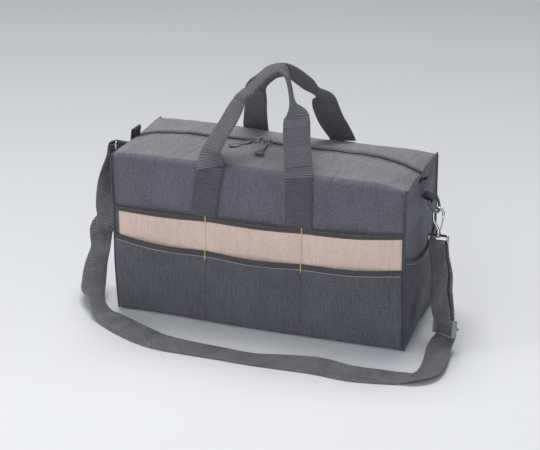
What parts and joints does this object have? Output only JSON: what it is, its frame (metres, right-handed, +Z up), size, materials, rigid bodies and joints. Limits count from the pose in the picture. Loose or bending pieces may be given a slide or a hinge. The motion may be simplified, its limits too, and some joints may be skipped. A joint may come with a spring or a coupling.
{
  "type": "tool bag",
  "caption": "Soft tool bag with a zipped crowned top, layered open pockets, webbing carry handles and a shoulder strap on swivel snap hooks.",
  "frame": {"origin": "middle of the bag's flat base, on the floor it stands on", "axes": "+X to the right along the bag's length, +Y towards the back, +Z up; the strap lies on the floor in front, at -Y"},
  "size_m": [0.62, 0.3404, 0.3944],
  "materials": {
    "shell": "charcoal woven nylon, matt",
    "pocket": "dark ribbed nylon, matt",
    "taupe": "pinkish taupe woven polyester",
    "binding": "black edge binding with tan stitching",
    "webbing": "black ribbed webbing",
    "strap": "charcoal herringbone webbing",
    "zip_tape": "black woven zip tape",
    "zip_coil": "black nylon coil",
    "slider_metal": "dark lacquered die casting",
    "pull_rubber": "black moulded pull",
    "chrome": "bright plated steel wire and casting",
    "nickel": "nickel plated steel",
    "board": "black stiffener board"
  },
  "bodies": {
    "bag": {"bottom_panel": "shell", "bottom_board": "board", "front_panel": "shell", "back_panel": "shell", "left_end_panel": "shell", "right_end_panel": "shell", "front_inner_pocket": "taupe", "front_inner_pocket_binding": "binding", "front_outer_pocket": "pocket", "front_outer_pocket_binding": "binding", "back_inner_pocket": "taupe", "back_inner_pocket_binding": "binding", "back_outer_pocket": "pocket", "back_outer_pocket_binding": "binding", "left_end_pocket": "pocket", "left_end_pocket_hem": "pocket", "right_end_pocket": "pocket", "right_end_pocket_hem": "pocket", "front_left_piping": "binding", "front_right_piping": "binding", "back_left_piping": "binding", "back_right_piping": "binding", "front_left_handle_anchor": "webbing", "front_right_handle_anchor": "webbing", "back_left_handle_anchor": "webbing", "back_right_handle_anchor": "webbing", "left_zip_tab": "webbing", "right_zip_tab": "webbing", "left_ring_tab": "webbing", "right_ring_tab": "webbing"},
    "front_flap": {"front_top_panel": "shell", "front_zip_tape": "zip_tape", "front_zip_coil": "zip_coil"},
    "back_flap": {"back_top_panel": "shell", "back_zip_tape": "zip_tape", "back_zip_coil": "zip_coil"},
    "front_carry_handle": {"front_handle": "webbing"},
    "back_carry_handle": {"back_handle": "webbing"},
    "left_slider": {"left_zip_slider": "slider_metal"},
    "right_slider": {"right_zip_slider": "slider_metal"},
    "left_pull": {"left_pull_ring": "slider_metal", "left_pull_tab": "pull_rubber"},
    "right_pull": {"right_pull_ring": "slider_metal", "right_pull_tab": "pull_rubber"},
    "left_ring": {"left_d_ring": "chrome"},
    "right_ring": {"right_d_ring": "chrome"},
    "strap": {"shoulder_strap": "strap", "left_swivel_eye": "chrome", "right_swivel_eye": "chrome"},
    "adjuster": {"strap_adjuster": "nickel"},
    "left_hook": {"left_snap_hook": "chrome"},
    "right_hook": {"right_snap_hook": "chrome"},
    "left_gate": {"left_hook_gate": "chrome"},
    "right_gate": {"right_hook_gate": "chrome"}
  },
  "joints": [
    {"name": "front_flap_hinge", "type": "hinge", "parent": "bag", "child": "front_flap", "pos_m": [0, -0.0955, 0.249], "axis": [-1, 0, 0], "range_deg": [-85, 0]},
    {"name": "back_flap_hinge", "type": "hinge", "parent": "bag", "child": "back_flap", "pos_m": [0, 0.0955, 0.249], "axis": [1, 0, 0], "range_deg": [-85, 0]},
    {"name": "front_handle_hinge", "type": "hinge", "parent": "front_flap", "child": "front_carry_handle", "pos_m": [0, -0.0955, 0.249], "axis": [1, 0, 0], "range_deg": [0, 195]},
    {"name": "back_handle_hinge", "type": "hinge", "parent": "back_flap", "child": "back_carry_handle", "pos_m": [0, 0.0955, 0.249], "axis": [-1, 0, 0], "range_deg": [0, 195]},
    {"name": "left_slider_slide", "type": "slide", "parent": "front_flap", "child": "left_slider", "axis": [-1, 0, 0], "range_m": [0, 0.16]},
    {"name": "right_slider_slide", "type": "slide", "parent": "front_flap", "child": "right_slider", "axis": [1, 0, 0], "range_m": [0, 0.2]},
    {"name": "left_pull_hinge", "type": "hinge", "parent": "left_slider", "child": "left_pull", "pos_m": [-0.0275, 0, 0.2667], "axis": [-0.6428, 0.766, 0], "range_deg": [0, 150]},
    {"name": "right_pull_hinge", "type": "hinge", "parent": "right_slider", "child": "right_pull", "pos_m": [-0.0125, 0, 0.2667], "axis": [-1, 0, 0], "range_deg": [0, 150]},
    {"name": "left_ring_hinge", "type": "hinge", "parent": "bag", "child": "left_ring", "pos_m": [-0.243, 0, 0.206], "axis": [0, 1, 0], "range_deg": [0, 13]},
    {"name": "right_ring_hinge", "type": "hinge", "parent": "bag", "child": "right_ring", "pos_m": [0.243, 0, 0.206], "axis": [0, 1, 0], "range_deg": [-3, 0]},
    {"name": "strap_swing", "type": "hinge", "parent": "bag", "child": "strap", "pos_m": [0, 0, 0.201], "axis": [-1, 0, 0], "range_deg": [0, 48]},
    {"name": "adjuster_slide", "type": "slide", "parent": "strap", "child": "adjuster", "axis": [-0.1495, 0.4846, 0.8619], "range_m": [-0.006, 0.006]},
    {"name": "left_hook_swivel", "type": "hinge", "parent": "strap", "child": "left_hook", "pos_m": [-0.25299, 0, 0.1864], "axis": [-0.2102, 0.3803, 0.9007], "range_deg": [-20, 20]},
    {"name": "right_hook_swivel", "type": "hinge", "parent": "strap", "child": "right_hook", "pos_m": [0.25299, 0, 0.1864], "axis": [0.0903, -0.251, -0.9638], "range_deg": [-20, 20]},
    {"name": "left_gate_hinge", "type": "hinge", "parent": "left_hook", "child": "left_gate", "pos_m": [-0.2621, 0.00982, 0.20966], "axis": [0, -0.9213, 0.389], "range_deg": [0, 15], "stiffness_Nm_per_rad": 0.01},
    {"name": "right_gate_hinge", "type": "hinge", "parent": "right_hook", "child": "right_gate", "pos_m": [0.25898, -0.00659, 0.16108], "axis": [0, -0.9677, 0.252], "range_deg": [0, 15], "stiffness_Nm_per_rad": 0.01}
  ],
  "couplings": [
    {"joint": "back_flap_hinge", "follows": "front_flap_hinge", "ratio": 1},
    {"joint": "left_ring_hinge", "follows": "strap_swing", "ratio": 0.26},
    {"joint": "right_ring_hinge", "follows": "strap_swing", "ratio": -0.06}
  ]
}
